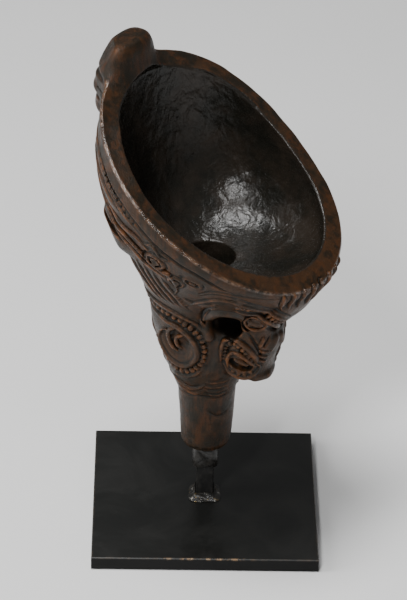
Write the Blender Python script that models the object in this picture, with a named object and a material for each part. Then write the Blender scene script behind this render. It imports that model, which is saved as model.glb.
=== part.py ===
"""Maori feeding funnel (korere) on a small museum stand.

Frame: metres, +Z up, origin at the centre of the base plate's underside, -Y is the stand's front.
The funnel is one carved piece of wood. It stands spout down on a pin and lifts straight off.
"""

import math

import bmesh
import bpy
from mathutils import Vector

MM = 0.001

# ---- driving dimensions, in millimetres ----
GAP = 0.3                  # left between pieces that touch

PLATE_SIDE = 101.6         # 4 in square, 1/4 in thick
PLATE_THICK = 6.35
POST_SIDE = 7.94           # 5/16 in square bar
PIN_DIAMETER = 4.76        # 3/16 in rod
PIN_SOCKET = 8.0           # depth of the hole that holds the pin in the post
SLEEVE_DIAMETER = 10.2
SLEEVE_LENGTH = 33.0

SPOUT_Z = 36.0             # height of the spout's lower end
SPOUT_RADIUS = 11.2
SPOUT_ROUNDING = 2.6       # of the lower end's outer edge
NECK_Z = 67.0              # where the plain spout ends and the carving starts
NECK_RADIUS = 13.2
NECK_SWELL = 2.2           # how far the carved neck bulges between its ends
SHOULDER_Z = 112.0         # where the neck opens into the bowl
SHOULDER_RADIUS = 24.5
SHOULDER_U = -2.0          # the shoulder is set back from the spout's axis
BORE_RADIUS = 5.5
BORE_FLARE = 0.8           # of the bore's lower edge
BORE_TOP = 74.0            # the bore is straight up to here, then widens to the throat
THROAT_Z = 133.5           # where the bore opens into the bowl
THROAT_RADIUS = 12.3
THROAT_U = -1.3

FACING = math.radians(-35) # the funnel's symmetry plane, turned about Z from +X
RIM_TILT = math.radians(36.4)
RIM_U, RIM_Z = 4.8, 177.8  # centre of the mouth's plane
RIM_RADIUS = 58.7
RIM_STRETCH = 5.65         # makes the mouth longer than it is wide
RIM_UNEVEN = 0.96          # three-sided unevenness of the hand-carved outline
RIM_WIDTH = 9.3            # of the flat rim face, at its ends
RIM_WIDTH_LESS = 0.95      # how much narrower it is at the sides
RIM_INNER_EDGE = 0.6       # worn off the rim's inner edge
RIM_OUTER_EDGE = 1.2       # and off its outer edge

# the walls' curves, as shares of each wall's own reach and height
INSIDE_FLOOR = 0.62        # how far the bowl's floor runs out before it turns up
INSIDE_START = 0.12        # how much it climbs on the way
INSIDE_UPRIGHT = 0.70      # the stretch below the rim that stands upright
OUTSIDE_FLOOR = 0.32
OUTSIDE_START = 0.30
OUTSIDE_UPRIGHT = 0.25
BACK_UPRIGHT = 0.12        # added at the back, which stands upright for longer
BACK_SWELL = 6.0           # how far the back bulges, in millimetres

HOLE_U, HOLE_Z = 20.6, 113.0   # the hole behind the face
HOLE_LENGTH, HOLE_HEIGHT = 12.4, 12.4
HOLE_REACH = 45.0          # from the funnel's middle out past each cheek

SIDES = 72                 # of the funnel's cross-section

PIN_TIP = 1.5              # stands out of the sleeve
COLLAR_Z = 24.5            # the wax collar's lower edge


# ---------------------------------------------------------------- helpers

def clear_scene():
    for obj in list(bpy.data.objects):
        bpy.data.objects.remove(obj, do_unlink=True)


def material(name, color, roughness, metallic=0.0):
    made = bpy.data.materials.new(name)
    made.use_nodes = True
    shader = made.node_tree.nodes["Principled BSDF"]
    shader.inputs["Base Color"].default_value = (*color, 1.0)
    shader.inputs["Roughness"].default_value = roughness
    shader.inputs["Metallic"].default_value = metallic
    return made


def new_object(name, bm, look=None, smooth_angle=None):
    """Turns a bmesh in millimetres into an object in metres."""
    bmesh.ops.recalc_face_normals(bm, faces=bm.faces)
    bmesh.ops.scale(bm, vec=(MM, MM, MM), verts=bm.verts)
    mesh = bpy.data.meshes.new(name)
    bm.to_mesh(mesh)
    bm.free()
    if smooth_angle is not None:
        mesh.shade_smooth()
        mesh.set_sharp_from_angle(angle=math.radians(smooth_angle))
    obj = bpy.data.objects.new(name, mesh)
    if look is not None:
        mesh.materials.append(look)
    bpy.context.scene.collection.objects.link(obj)
    return obj


def helper(name, bm):
    """A hidden solid that a Boolean joins to or cuts from another."""
    obj = new_object(name, bm)
    obj.hide_render = True
    obj.display_type = "WIRE"
    return obj


def boolean(obj, other, operation):
    step = obj.modifiers.new(f"{operation.lower()} {other.name}", "BOOLEAN")
    step.operation = operation
    step.object = other


def ring(bm, points):
    return [bm.verts.new(p) for p in points]


def bridge(bm, lower, upper):
    count = len(lower)
    for i in range(count):
        j = (i + 1) % count
        bm.faces.new((lower[i], lower[j], upper[j], upper[i]))


def cylinder(bm, radius, z_low, z_high, sides=32, chamfer=0.0):
    """A closed round bar along Z with chamfered ends."""
    levels = [(radius - chamfer, z_low), (radius, z_low + chamfer), (radius, z_high - chamfer)]
    levels.append((radius - chamfer, z_high))
    if chamfer == 0.0:
        levels = [(radius, z_low), (radius, z_high)]
    rings = []
    for r, z in levels:
        angles = [math.tau * i / sides for i in range(sides)]
        rings.append(ring(bm, [(r * math.cos(a), r * math.sin(a), z) for a in angles]))
    for lower, upper in zip(rings, rings[1:]):
        bridge(bm, lower, upper)
    bm.faces.new(reversed(rings[0]))
    bm.faces.new(rings[-1])


def rounded_square(half, corner, z, waviness=0.0, steps=6, phase=0.0):
    """Points of a square with round corners, swollen here and there where waviness isn't 0."""
    points = []
    for quarter in range(4):
        turn = math.radians(90 * quarter)
        for i in range(steps + 1):
            angle = math.radians(90) * i / steps
            x = half - corner + corner * math.cos(angle)
            y = half - corner + corner * math.sin(angle)
            px = x * math.cos(turn) - y * math.sin(turn)
            py = x * math.sin(turn) + y * math.cos(turn)
            around = math.atan2(py, px)
            swell = math.sin(3 * around + phase) + 0.6 * math.sin(5 * around - 2 * phase)
            points.append((px * (1 + waviness * swell), py * (1 + waviness * swell), z))
    return points


# ---------------------------------------------------------------- the funnel's shape

def to_world(u, v, z):
    """From the funnel's frame: u towards the lip over the face, v to its left side, z up."""
    x = u * math.cos(FACING) - v * math.sin(FACING)
    y = u * math.sin(FACING) + v * math.cos(FACING)
    return Vector((x, y, z))


def mouth_radius(theta):
    uneven = RIM_UNEVEN * math.sin(3 * theta) + 0.5 * RIM_UNEVEN * math.cos(3 * theta)
    return RIM_RADIUS + RIM_STRETCH * math.cos(2 * theta) + uneven


def rim_width(theta):
    return RIM_WIDTH + RIM_WIDTH_LESS * math.cos(2 * theta)


def rim_point(theta, inset=0.0, sink=0.0):
    """A point on the tilted mouth: theta 0 is the low lip over the face, 180 degrees the high end."""
    along = (mouth_radius(theta) - inset) * math.cos(theta)
    across = (mouth_radius(theta) - inset) * math.sin(theta)
    u = RIM_U + along * math.cos(RIM_TILT) - sink * math.sin(RIM_TILT)
    z = RIM_Z - along * math.sin(RIM_TILT) - sink * math.cos(RIM_TILT)
    return Vector((u, across, z))


def bezier(a, b, c, d, t):
    s = 1 - t
    return a * s ** 3 + b * (3 * s * s * t) + c * (3 * s * t * t) + d * t ** 3


def circle_point(theta, radius, z):
    return Vector((radius * math.cos(theta), radius * math.sin(theta), z))


def bowl_inside(theta, t):
    """From the throat, t = 0, to the mouth's inner edge, t = 1."""
    low = circle_point(theta, THROAT_RADIUS, THROAT_Z) + Vector((THROAT_U, 0, 0))
    high = rim_point(theta, inset=rim_width(theta), sink=RIM_INNER_EDGE)
    rise = high.z - low.z
    out = (high - low) * INSIDE_FLOOR
    leave = low + Vector((out.x, out.y, INSIDE_START * rise))
    arrive = high - Vector((0, 0, INSIDE_UPRIGHT * rise))
    return bezier(low, leave, arrive, high, t)


def shoulder_point(theta):
    return circle_point(theta, SHOULDER_RADIUS, SHOULDER_Z) + Vector((SHOULDER_U, 0, 0))


def bowl_outside(theta, t):
    """From the shoulder, t = 0, to the mouth's outer edge, t = 1."""
    low = shoulder_point(theta)
    high = rim_point(theta, sink=RIM_OUTER_EDGE)
    back = (1 - math.cos(theta)) / 2
    rise = high.z - low.z
    out = (high - low) * OUTSIDE_FLOOR
    swell = circle_point(theta, BACK_SWELL * back, 0)
    leave = low + Vector((out.x, out.y, OUTSIDE_START * rise))
    arrive = high + swell - Vector((0, 0, (OUTSIDE_UPRIGHT + BACK_UPRIGHT * back) * rise))
    return bezier(low, leave, arrive, high, t)


def neck_point(theta, share):
    """From the shoulder, share 0, down to the carving's lower end, share 1."""
    swell = circle_point(theta, NECK_SWELL * math.sin(math.pi * share ** 0.75), 0)
    return shoulder_point(theta).lerp(circle_point(theta, NECK_RADIUS, NECK_Z), share) + swell


def funnel_rows():
    """The closed profile, one row of points per level: up the inside, over the rim, down the outside."""
    angles = [math.tau * i / SIDES for i in range(SIDES)]
    bore = [
        (BORE_RADIUS + BORE_FLARE, SPOUT_Z),
        (BORE_RADIUS, SPOUT_Z + BORE_FLARE),
        (BORE_RADIUS, BORE_TOP),
    ]
    spout = [
        (SPOUT_RADIUS, SPOUT_Z + 3.0),
        (SPOUT_RADIUS - 0.9, SPOUT_Z + 0.9),
        (SPOUT_RADIUS - SPOUT_ROUNDING, SPOUT_Z),
    ]
    rows = [[circle_point(a, radius, z) for a in angles] for radius, z in bore]
    for t in (0.0, 0.12, 0.25, 0.38, 0.52, 0.66, 0.80, 0.92, 1.0):
        rows.append([bowl_inside(a, t) for a in angles])
    rows.append([rim_point(a, inset=rim_width(a) - RIM_INNER_EDGE) for a in angles])
    rows.append([rim_point(a, inset=RIM_OUTER_EDGE) for a in angles])
    for t in (1.0, 0.92, 0.80, 0.66, 0.52, 0.38, 0.24, 0.12, 0.0):
        rows.append([bowl_outside(a, t) for a in angles])
    for share in (0.2, 0.4, 0.6, 0.8, 1.0):
        rows.append([neck_point(a, share) for a in angles])
    rows += [[circle_point(a, radius, z) for a in angles] for radius, z in spout]
    return rows


def stacked_solid(levels, sides=28):
    """A closed solid of level oval sections, each (z, centre u, half length in u, half width in v)."""
    bm = bmesh.new()
    rings = []
    for z, centre, length, width in levels:
        points = []
        for i in range(sides):
            a = math.tau * i / sides
            points.append(to_world(centre + length * math.cos(a), width * math.sin(a), z))
        rings.append(ring(bm, points))
    for lower, upper in zip(rings, rings[1:]):
        bridge(bm, lower, upper)
    bm.faces.new(reversed(rings[0]))
    bm.faces.new(rings[-1])
    return bm


def tunnel(sides=24):
    """The hole that goes right through behind the face, from side to side."""
    bm = bmesh.new()
    rings = []
    for v in (-HOLE_REACH, HOLE_REACH):
        points = []
        for i in range(sides):
            a = math.tau * i / sides
            u = HOLE_U + HOLE_LENGTH / 2 * math.cos(a)
            points.append(to_world(u, v, HOLE_Z + HOLE_HEIGHT / 2 * math.sin(a)))
        rings.append(ring(bm, points))
    bridge(bm, rings[0], rings[1])
    bm.faces.new(reversed(rings[0]))
    bm.faces.new(rings[1])
    return bm


FACE = [
    # z, centre u, half length, half width
    (81.5, 22.0, 7.5, 7.0),
    (84.0, 22.0, 9.8, 10.5),
    (90.0, 22.0, 11.0, 13.0),
    (97.0, 22.5, 12.8, 14.5),
    (104.0, 23.0, 14.2, 15.5),
    (109.0, 23.5, 13.4, 16.0),
    (112.5, 24.5, 13.4, 16.5),
    (117.0, 27.0, 15.0, 17.5),
    (122.0, 31.0, 16.5, 18.5),
    (125.5, 35.5, 14.5, 18.0),
    (129.5, 43.5, 8.5, 15.5),
    (133.5, 49.0, 4.0, 10.0),
]
KNOB = [
    # z, centre u, half length, half width
    (186.0, -47.0, 5.0, 7.0),
    (193.0, -49.0, 7.5, 10.0),
    (199.0, -49.3, 8.4, 11.5),
    (206.0, -48.2, 9.2, 12.8),
    (213.0, -47.0, 9.6, 13.4),
    (218.5, -46.2, 9.0, 13.6),
    (223.0, -45.8, 7.8, 13.0),
    (226.0, -45.8, 6.0, 11.4),
    (227.2, -45.8, 3.4, 8.0),
]


def carved_funnel(look):
    bm = bmesh.new()
    rings = [ring(bm, [to_world(*p) for p in row]) for row in funnel_rows()]
    for lower, upper in zip(rings, rings[1:] + rings[:1]):
        bridge(bm, lower, upper)
    funnel = new_object("carved_funnel", bm, look, smooth_angle=40)
    boolean(funnel, helper("face_shape", stacked_solid(FACE)), "UNION")
    boolean(funnel, helper("knob_shape", stacked_solid(KNOB)), "UNION")
    boolean(funnel, helper("hole_shape", tunnel()), "DIFFERENCE")
    return funnel


# ---------------------------------------------------------------- the stand

def base_plate(look):
    bm = bmesh.new()
    half = PLATE_SIDE / 2
    arris = 0.35
    levels = [(half - arris, 0.0), (half, arris), (half, PLATE_THICK - arris), (half - arris, PLATE_THICK)]
    rings = []
    for side, z in levels:
        rings.append(ring(bm, [(side, side, z), (-side, side, z), (-side, -side, z), (side, -side, z)]))
    for lower, upper in zip(rings, rings[1:]):
        bridge(bm, lower, upper)
    bm.faces.new(reversed(rings[0]))
    bm.faces.new(rings[-1])
    return new_object("base_plate", bm, look)


POST_LOW = PLATE_THICK + GAP
POST_HIGH = SPOUT_Z - GAP


def square_bar(half, corner, z_low, z_high):
    bm = bmesh.new()
    lower = ring(bm, rounded_square(half, corner, z_low, steps=2))
    upper = ring(bm, rounded_square(half, corner, z_high, steps=2))
    bridge(bm, lower, upper)
    bm.faces.new(reversed(lower))
    bm.faces.new(upper)
    return bm


def mount_post(look):
    post = new_object("mount_post", square_bar(POST_SIDE / 2, 0.5, POST_LOW, POST_HIGH), look)
    hole = bmesh.new()
    cylinder(hole, PIN_DIAMETER / 2 + GAP, POST_HIGH - PIN_SOCKET, POST_HIGH + 5)
    boolean(post, helper("pin_hole", hole), "DIFFERENCE")
    return post


def support_pin(look):
    bm = bmesh.new()
    low = POST_HIGH - PIN_SOCKET + GAP
    cylinder(bm, PIN_DIAMETER / 2, low, POST_HIGH + GAP + SLEEVE_LENGTH + PIN_TIP, chamfer=0.6)
    return new_object("support_pin", bm, look, smooth_angle=40)


def tube(inner, outer, z_low, z_high, chamfer, sides=32):
    bm = bmesh.new()
    levels = [(inner, z_low), (inner, z_high), (outer - chamfer, z_high), (outer, z_high - chamfer)]
    levels += [(outer, z_low + chamfer), (outer - chamfer, z_low)]
    rings = []
    for radius, z in levels:
        angles = [math.tau * i / sides for i in range(sides)]
        rings.append(ring(bm, [(radius * math.cos(a), radius * math.sin(a), z) for a in angles]))
    for lower, upper in zip(rings, rings[1:] + rings[:1]):
        bridge(bm, lower, upper)
    return bm


def pin_sleeve(look):
    low = POST_HIGH + GAP
    inner = PIN_DIAMETER / 2 + GAP
    bm = tube(inner, SLEEVE_DIAMETER / 2, low, low + SLEEVE_LENGTH, chamfer=0.6)
    return new_object("pin_sleeve", bm, look, smooth_angle=40)


def lumpy_ring(levels, look, name):
    """A ring round the square post; levels holds (half width, height, waviness, phase) from below."""
    bm = bmesh.new()
    hole = POST_SIDE / 2 + GAP
    rings = [ring(bm, rounded_square(hole, 0.6, levels[0][1]))]
    for half, z, waviness, phase in levels:
        rings.append(ring(bm, rounded_square(half, 0.45 * half, z, waviness, phase=phase)))
    rings.append(ring(bm, rounded_square(hole, 0.6, levels[-1][1])))
    for lower, upper in zip(rings, rings[1:] + rings[:1]):
        bridge(bm, lower, upper)
    return new_object(name, bm, look, smooth_angle=60)


def wax_collar(look):
    levels = [
        (4.9, COLLAR_Z, 0.02, 0.0),
        (5.7, COLLAR_Z + 2.2, 0.035, 0.6),
        (5.5, COLLAR_Z + 5.0, 0.03, 1.9),
        (6.1, COLLAR_Z + 8.0, 0.035, 3.1),
        (6.0, COLLAR_Z + 11.0, 0.03, 4.0),
        (5.3, POST_HIGH, 0.02, 4.4),
    ]
    return lumpy_ring(levels, look, "wax_collar")


def foot_braze(look):
    levels = [
        (7.4, POST_LOW, 0.02, 0.5),
        (6.6, POST_LOW + 0.5, 0.025, 0.8),
        (5.5, POST_LOW + 1.5, 0.02, 1.2),
        (4.75, POST_LOW + 3.2, 0.01, 1.5),
    ]
    return lumpy_ring(levels, look, "foot_braze")


def main():
    clear_scene()
    wood = material("carved_wood", (0.075, 0.035, 0.018), 0.38)
    black = material("black_painted_steel", (0.018, 0.018, 0.017), 0.45)
    steel = material("bare_steel", (0.45, 0.44, 0.42), 0.35, 1.0)
    wax = material("black_wax", (0.012, 0.011, 0.010), 0.22)
    sleeve = material("clear_sleeve", (0.62, 0.60, 0.54), 0.4)
    braze = material("painted_braze", (0.03, 0.028, 0.024), 0.4, 0.3)
    base_plate(black)
    mount_post(black)
    foot_braze(braze)
    wax_collar(wax)
    support_pin(steel)
    pin_sleeve(sleeve)
    carved_funnel(wood)


main()
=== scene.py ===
"""Maori feeding funnel (korere) on its museum stand: the looks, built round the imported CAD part.

The funnel is worked in its own frame, in millimetres: u points to the lip over the face, v to the
funnel's left side, z up. Its smooth body repeats the CAD's lofts as a distance field on a fine grid.
The relief is then cut and raised in that field with strokes, as a carver works with gouges.
"""

import math

import bpy
import numpy as np
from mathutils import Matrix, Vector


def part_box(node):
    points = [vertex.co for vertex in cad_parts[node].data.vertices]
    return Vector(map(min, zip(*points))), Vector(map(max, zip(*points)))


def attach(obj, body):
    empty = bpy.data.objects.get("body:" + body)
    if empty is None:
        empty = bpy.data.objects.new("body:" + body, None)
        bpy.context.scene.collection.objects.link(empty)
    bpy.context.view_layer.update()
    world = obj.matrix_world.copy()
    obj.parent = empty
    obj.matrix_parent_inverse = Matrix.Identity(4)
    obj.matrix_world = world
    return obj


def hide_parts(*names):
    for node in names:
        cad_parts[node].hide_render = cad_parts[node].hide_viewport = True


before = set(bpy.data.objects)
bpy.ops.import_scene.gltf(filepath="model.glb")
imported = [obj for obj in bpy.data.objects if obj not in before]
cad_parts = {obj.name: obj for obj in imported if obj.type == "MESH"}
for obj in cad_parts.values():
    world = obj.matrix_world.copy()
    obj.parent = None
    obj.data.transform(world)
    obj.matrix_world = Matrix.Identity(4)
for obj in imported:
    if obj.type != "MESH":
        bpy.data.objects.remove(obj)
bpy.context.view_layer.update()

import openvdb
from mathutils import Matrix, Vector
from mathutils.bvhtree import BVHTree

MM = 0.001


def added(name, data):
    """A new object in the scene, holding the mesh, light or camera given."""
    obj = bpy.data.objects.new(name, data)
    bpy.context.scene.collection.objects.link(obj)
    return obj


# ---- the funnel's driving dimensions, the same as in the CAD, in millimetres ----
SPOUT_Z, SPOUT_RADIUS = 36.0, 11.2
NECK_Z, NECK_RADIUS, NECK_SWELL = 67.0, 13.2, 2.2
SHOULDER_Z, SHOULDER_RADIUS, SHOULDER_U = 112.0, 24.5, -2.0
BORE_RADIUS, BORE_TOP = 5.5, 74.0
THROAT_Z, THROAT_RADIUS, THROAT_U = 133.5, 12.3, -1.3
FACING = math.radians(-35)
RIM_TILT = math.radians(36.4)
RIM_U, RIM_Z, RIM_RADIUS = 4.8, 177.8, 58.7
RIM_STRETCH, RIM_UNEVEN = 5.65, 0.96
RIM_WIDTH, RIM_WIDTH_LESS = 9.3, 0.95
RIM_ARRIS = 0.8  # the mouth's outer edge is hardly rounded
HOLE_U, HOLE_Z, HOLE_LENGTH, HOLE_HEIGHT = 20.6, 113.0, 12.4, 12.4
FACE = [
    # z, centre u, half length, half width
    (81.5, 22.0, 7.5, 7.0), (84.0, 22.0, 9.8, 10.5), (90.0, 22.0, 11.0, 13.0),
    (97.0, 22.5, 12.8, 14.5), (104.0, 23.0, 14.2, 15.5), (109.0, 23.5, 13.4, 16.0),
    (112.5, 24.5, 13.4, 16.5), (117.0, 27.0, 15.0, 17.5), (122.0, 31.0, 16.5, 18.5),
    (125.5, 35.5, 14.5, 18.0), (129.5, 43.5, 8.5, 15.5), (133.5, 49.0, 4.0, 10.0),
]
KNOB = [
    # z, centre u, half length, half width
    (186.0, -47.0, 5.0, 7.0), (193.0, -49.0, 7.5, 10.0), (199.0, -49.3, 8.4, 11.5),
    (206.0, -48.2, 9.2, 12.8), (213.0, -47.0, 9.6, 13.4), (218.5, -46.2, 9.0, 13.6),
    (223.0, -45.8, 7.8, 13.0), (226.0, -45.8, 6.0, 11.4), (227.2, -45.8, 3.4, 8.0),
]

# ---- the grid that the funnel is carved in ----
VOXEL = 0.42
BAND = 4.5  # distances beyond this aren't kept
GRID_LOW, GRID_HIGH = (-68, -62, 33), (66, 62, 232)
SIDES = 160  # points round each loft
SECTION_STEPS = 5  # sections made for each one given
KNOB_SQUARE = 0.8  # 0 would make the knob's sections plain ovals


# ---- the funnel's smooth surfaces ----

def circle(theta, radius, z, centre=0.0):
    return np.stack([centre + radius * np.cos(theta), radius * np.sin(theta), z + 0 * theta], -1)


def mouth_radius(theta):
    uneven = RIM_UNEVEN * np.sin(3 * theta) + 0.5 * RIM_UNEVEN * np.cos(3 * theta)
    return RIM_RADIUS + RIM_STRETCH * np.cos(2 * theta) + uneven


def rim_width(theta):
    return RIM_WIDTH + RIM_WIDTH_LESS * np.cos(2 * theta)


def rim_point(theta, inset=0.0, sink=0.0):
    """On the tilted mouth: theta 0 is the low lip over the face, 180 degrees the high end."""
    along = (mouth_radius(theta) - inset) * np.cos(theta)
    across = (mouth_radius(theta) - inset) * np.sin(theta)
    u = RIM_U + along * math.cos(RIM_TILT) - sink * math.sin(RIM_TILT)
    z = RIM_Z - along * math.sin(RIM_TILT) - sink * math.cos(RIM_TILT)
    return np.stack([u, across, z], -1)


def bezier(a, b, c, d, t):
    s = 1 - t
    return a * s ** 3 + b * (3 * s * s * t) + c * (3 * s * t * t) + d * t ** 3


def bowl_inside(theta, t):
    low = circle(theta, THROAT_RADIUS, THROAT_Z, THROAT_U)
    high = rim_point(theta, rim_width(theta), 0.6)
    out = (high - low) * 0.62
    rise = high[..., 2:] - low[..., 2:]
    up = np.array([0, 0, 1.0])
    leave = low + out * np.array([1, 1, 0]) + 0.12 * rise * up
    arrive = high - 0.7 * rise * up
    return bezier(low, leave, arrive, high, t)


def shoulder_point(theta):
    return circle(theta, SHOULDER_RADIUS, SHOULDER_Z, SHOULDER_U)


def bowl_outside(theta, t):
    low, high = shoulder_point(theta), rim_point(theta, 0, RIM_ARRIS)
    back = ((1 - np.cos(theta)) / 2)[..., None]
    rise = high[..., 2:] - low[..., 2:]
    out = high - low
    up = np.array([0, 0, 1.0])
    swell = 6.0 * back * np.stack([np.cos(theta), np.sin(theta), 0 * theta], -1)
    leave = low + out * np.array([0.32, 0.32, 0]) + 0.3 * rise * up
    arrive = high + swell - (0.25 + 0.12 * back) * rise * up
    return bezier(low, leave, arrive, high, t)


def neck_point(theta, share):
    """From the shoulder, share 0, down to the carving's lower end, share 1."""
    swell = NECK_SWELL * math.sin(math.pi * share ** 0.75)
    line = shoulder_point(theta) * (1 - share) + circle(theta, NECK_RADIUS, NECK_Z) * share
    return line + circle(theta, swell, 0)


def outside_rows(theta):
    """The solid without its hollow, from the spout's foot up and over the mouth."""
    rows = [circle(theta, 0.5, SPOUT_Z), circle(theta, SPOUT_RADIUS - 2.6, SPOUT_Z)]
    rows.append(circle(theta, SPOUT_RADIUS - 0.9, SPOUT_Z + 0.9))
    rows.append(circle(theta, SPOUT_RADIUS, SPOUT_Z + 3.0))
    rows += [neck_point(theta, share) for share in np.linspace(1, 0, 24)[:-1]]
    rows += [bowl_outside(theta, t) for t in np.linspace(0, 1, 40)]
    rows += [rim_point(theta, inset) for inset in (RIM_ARRIS, 12, 30, 50)]
    return rows


def hollow_rows(theta):
    """The bowl and its bore, running past both ends."""
    rows = [circle(theta, 0.5, SPOUT_Z - 2.5), circle(theta, BORE_RADIUS + 3, SPOUT_Z - 2.5)]
    rows += [circle(theta, BORE_RADIUS + 0.8, SPOUT_Z), circle(theta, BORE_RADIUS, SPOUT_Z + 0.8)]
    rows.append(circle(theta, BORE_RADIUS, BORE_TOP))
    rows += [bowl_inside(theta, t) for t in np.linspace(0, 1, 40)]
    width = rim_width(theta)
    rows += [rim_point(theta, width - 0.6), rim_point(theta, width - 0.7, -8)]
    rows += [rim_point(theta, 30, -8), rim_point(theta, 50, -8)]
    return rows


def with_ends(rows):
    """The rows with a small ring added inside the first and the last, to close them."""
    first, last = rows[0].mean(0), rows[-1].mean(0)
    return [first + (rows[0] - first) * 0.05] + rows + [last + (rows[-1] - last) * 0.05]


def section_rows(levels, theta, square=0.0):
    """Level oval sections, squarer with square, with the sizes between them running smoothly."""
    table = np.array(levels)
    wanted = np.linspace(0, len(table) - 1, SECTION_STEPS * (len(table) - 1) + 1)
    smooth = np.stack([catmull(table[:, i], wanted) for i in range(4)], -1)
    corner = (np.abs(np.cos(theta)) ** 3 + np.abs(np.sin(theta)) ** 3) ** (-square / 3)
    ring = np.stack([corner * np.cos(theta), corner * np.sin(theta), 0 * theta], -1)
    return with_ends([np.array([centre, 0, z]) + ring * np.array([length, width, 0])
                      for z, centre, length, width in smooth])


def catmull(values, wanted):
    """Catmull-Rom through values given at whole steps."""
    padded = np.concatenate([[2 * values[0] - values[1]], values, [2 * values[-1] - values[-2]]])
    i = np.clip(np.floor(wanted).astype(int), 0, len(values) - 2)
    f = wanted - i
    a, b, c, d = padded[i], padded[i + 1], padded[i + 2], padded[i + 3]
    return 0.5 * (2 * b + (c - a) * f + (2 * a - 5 * b + 4 * c - d) * f ** 2
                  + (3 * b - a - 3 * c + d) * f ** 3)


def tunnel_rows(theta):
    """The hole through behind the face, from side to side and a little flared."""
    rows = []
    for v in np.linspace(-45, 45, 31):
        flare = 1 + 0.1 * (abs(v) / 20) ** 2
        u = HOLE_U + HOLE_LENGTH / 2 * flare * np.cos(theta)
        z = HOLE_Z + HOLE_HEIGHT / 2 * flare * np.sin(theta)
        rows.append(np.stack([u, v * np.ones_like(theta), z], -1))
    return with_ends(rows)


# ---- distance fields ----

def cells(low, high):
    """The grid's index box round two corners in millimetres."""
    first = np.floor(np.array(low) / VOXEL).astype(int)
    last = np.ceil(np.array(high) / VOXEL).astype(int)
    return first, last - first + 1


def distance_field(rows, first, shape, band=BAND):
    """Distances from a closed loft, negative inside, as far as the band."""
    points = np.concatenate(rows).astype(np.float32)
    count = len(rows[0])
    quads = []
    for r in range(len(rows) - 1):
        here = r * count + np.arange(count)
        there = r * count + (np.arange(count) + 1) % count
        quads.append(np.stack([here, there, there + count, here + count], -1))
    quads = np.concatenate(quads).astype(np.uint32)
    bottom = np.arange(1, count - 1)
    top = (len(rows) - 1) * count
    low_cap = np.stack([0 * bottom, bottom + 1, bottom], -1)
    high_cap = np.stack([top + 0 * bottom, top + bottom, top + bottom + 1], -1)
    triangles = np.concatenate([low_cap, high_cap]).astype(np.uint32)
    grid = openvdb.FloatGrid.createLevelSetFromPolygons(
        points, triangles=triangles, quads=quads,
        transform=openvdb.createLinearTransform(voxelSize=VOXEL), halfWidth=band / VOXEL)
    values = np.empty(tuple(shape), np.float32)
    grid.copyToArray(values, ijk=tuple(int(i) for i in first))
    return values


def surface_of(values, first):
    """The field's zero surface: points in millimetres, and quads."""
    grid = openvdb.FloatGrid(BAND)
    grid.copyFromArray(values, ijk=tuple(int(i) for i in first))
    grid.transform = openvdb.createLinearTransform(voxelSize=VOXEL)
    grid.gridClass = openvdb.GridClass.LEVEL_SET
    points, quads = grid.convertToQuads(0.0)
    points, quads = points.astype(float), quads.astype(np.int64)
    a, b, c = (points[quads[:, i]] for i in range(3))
    if (np.cross(b - a, c - a) * a).sum() < 0:
        quads = quads[:, ::-1]
    return points, quads


def blend_min(a, b, k):
    h = np.maximum(k - np.abs(a - b), 0) / k
    return np.minimum(a, b) - h * h * k / 4


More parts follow.
